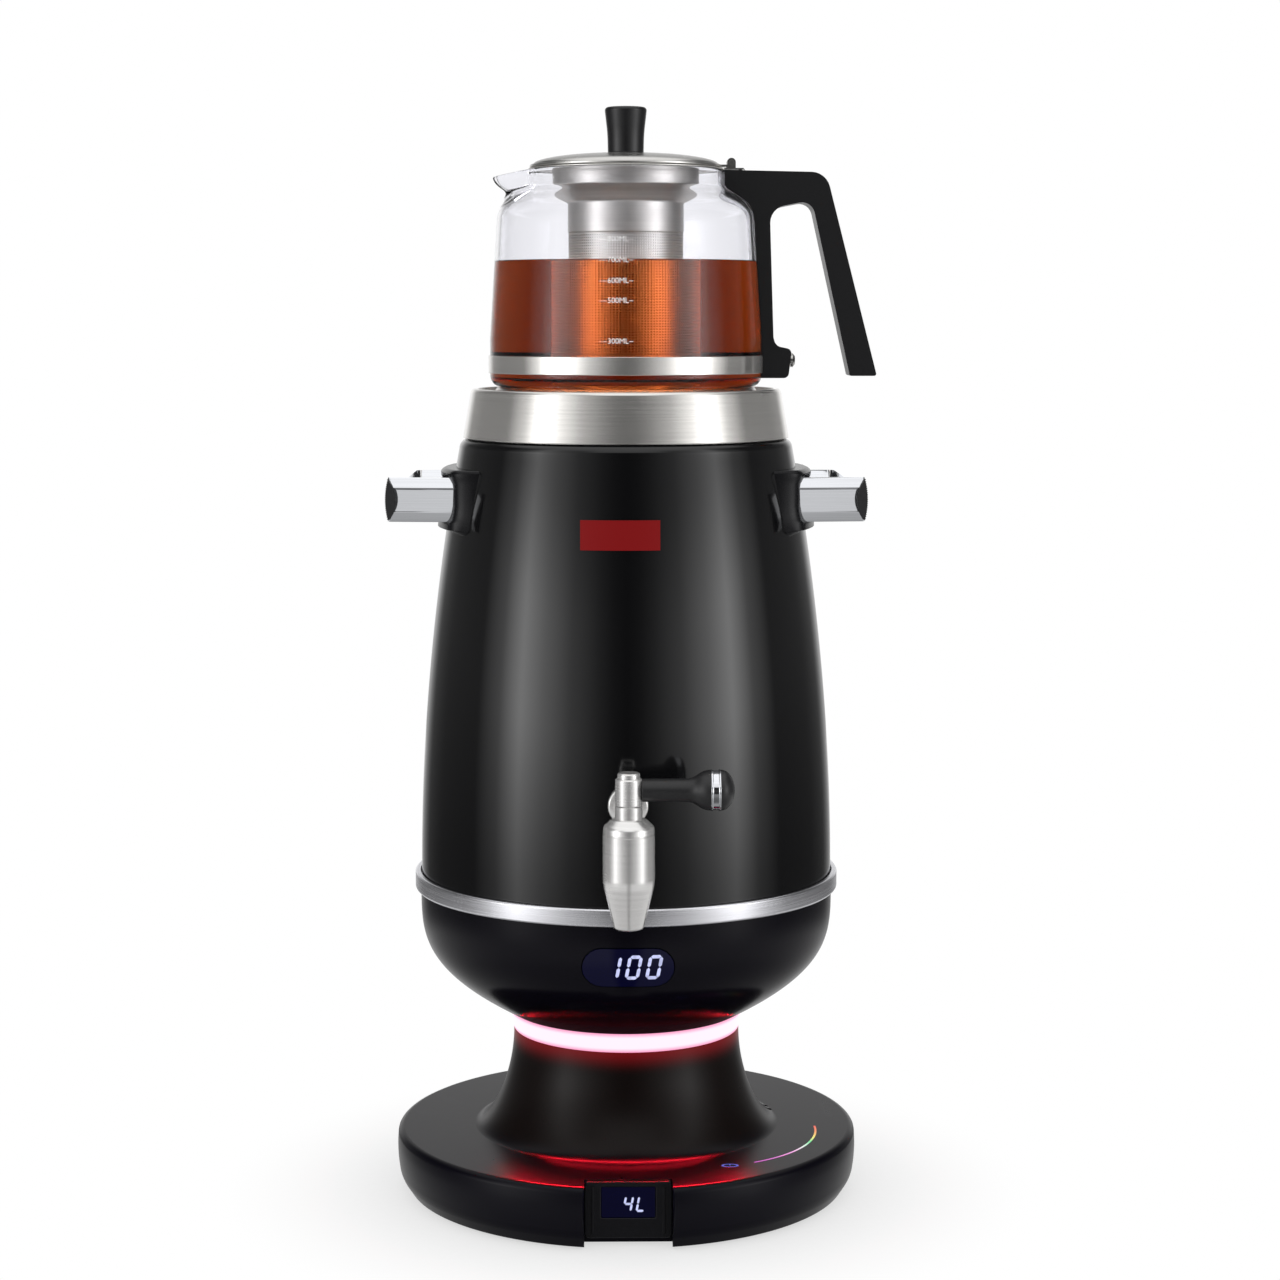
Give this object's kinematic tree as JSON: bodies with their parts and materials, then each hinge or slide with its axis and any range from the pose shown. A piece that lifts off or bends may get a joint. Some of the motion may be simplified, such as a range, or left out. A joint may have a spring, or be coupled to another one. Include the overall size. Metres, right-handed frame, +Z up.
{
  "type": "electric samovar",
  "caption": "Electric samovar: a water boiler on a lit pedestal base with a side-lever tap, lifting handles, lit displays and a glass teapot with infuser standing on its lid.",
  "frame": {"origin": "on the boiler's axis at the floor, in the plane of the foot ring's lower face", "axes": "+Z up; -Y is the front, with the tap and both displays; +X is the side of the teapot's handle"},
  "size_m": [0.2269, 0.2498, 0.5112],
  "materials": {
    "satin_black": "satin moulded plastic",
    "gloss_black": "gloss moulded plastic",
    "shell_black": "gloss black enamel on steel",
    "panel_black": "gloss moulded plastic",
    "smoked_window": "smoked lens",
    "lit_figures": "lit segments",
    "lit_pink": "frosted diffuser, lit",
    "touch_light": "frosted light pipe, lit",
    "polished_steel": "polished stainless steel",
    "tank_steel": "brushed stainless steel",
    "chrome": "bright chrome",
    "belt_satin": "satin",
    "screw_steel": "bright zinc",
    "rubber_black": "matte ribbed rubber",
    "silicone": "food-grade silicone",
    "board_green": "solder mask",
    "lever_black": "smooth phenolic",
    "handle_black": "satin moulded plastic",
    "badge_red": "gloss red enamel",
    "pot_glass": "clear borosilicate glass"
  },
  "bodies": {
    "stand": {"foot_ring": "rubber_black", "base_plate": "satin_black", "base_screws": "screw_steel", "base_cover": "satin_black", "front_panel": "panel_black", "level_window": "smoked_window", "level_digits": "lit_figures", "level_board": "board_green", "touch_strip": "touch_light", "power_key": "smoked_window", "control_board": "board_green", "wire_harness": "rubber_black", "cord_gland": "rubber_black", "stem_tube": "screw_steel", "stem_nuts": "screw_steel", "light_ring": "lit_pink", "led_strip": "lit_figures", "bowl": "gloss_black", "temp_window": "smoked_window", "temp_digits": "lit_figures", "temp_board": "board_green", "belt": "belt_satin", "body_shell": "shell_black", "badge_blank": "badge_red", "tank": "tank_steel", "heating_plate": "belt_satin", "thermostat": "rubber_black", "temp_probe": "tank_steel", "level_probe": "tank_steel", "probe_seals": "silicone", "collar": "polished_steel", "left_boss": "satin_black", "right_boss": "satin_black", "left_handle": "chrome", "right_handle": "chrome", "left_grip": "rubber_black", "right_grip": "rubber_black", "handle_screws": "screw_steel", "tap_flange": "chrome", "tap_body": "chrome", "tap_spacer": "silicone", "tap_gasket": "silicone", "tap_nut": "screw_steel"},
    "tap_handle": {"tap_plug": "chrome", "tap_cap": "chrome", "lever_pin": "screw_steel", "tap_lever": "lever_black", "lever_ring": "chrome", "lever_knob": "lever_black"},
    "tank_lid": {"tank_lid": "polished_steel", "tank_lid_gasket": "silicone"},
    "teapot": {"pot_glass": "pot_glass", "pot_band": "chrome", "pot_handle": "handle_black", "band_screw": "screw_steel", "hinge_bracket": "polished_steel", "infuser": "polished_steel", "hinge_pin": "screw_steel"},
    "pot_lid": {"pot_lid": "polished_steel", "lid_knob": "handle_black"}
  },
  "joints": [
    {"name": "tap_turn", "type": "hinge", "parent": "stand", "child": "tap_handle", "pos_m": [0, -0.126, 0.2], "axis": [0, 0, 1], "range_deg": [-90, 0]},
    {"name": "tank_lid_lift", "type": "slide", "parent": "stand", "child": "tank_lid", "axis": [0, 0, 1], "range_m": [0, 0.1]},
    {"name": "pot_lift", "type": "slide", "parent": "tank_lid", "child": "teapot", "axis": [0, 0, 1], "range_m": [0, 0.1]},
    {"name": "pot_lid_hinge", "type": "hinge", "parent": "teapot", "child": "pot_lid", "pos_m": [0.0488, 0, 0.4858], "axis": [0, 1, 0], "range_deg": [0, 95]}
  ]
}
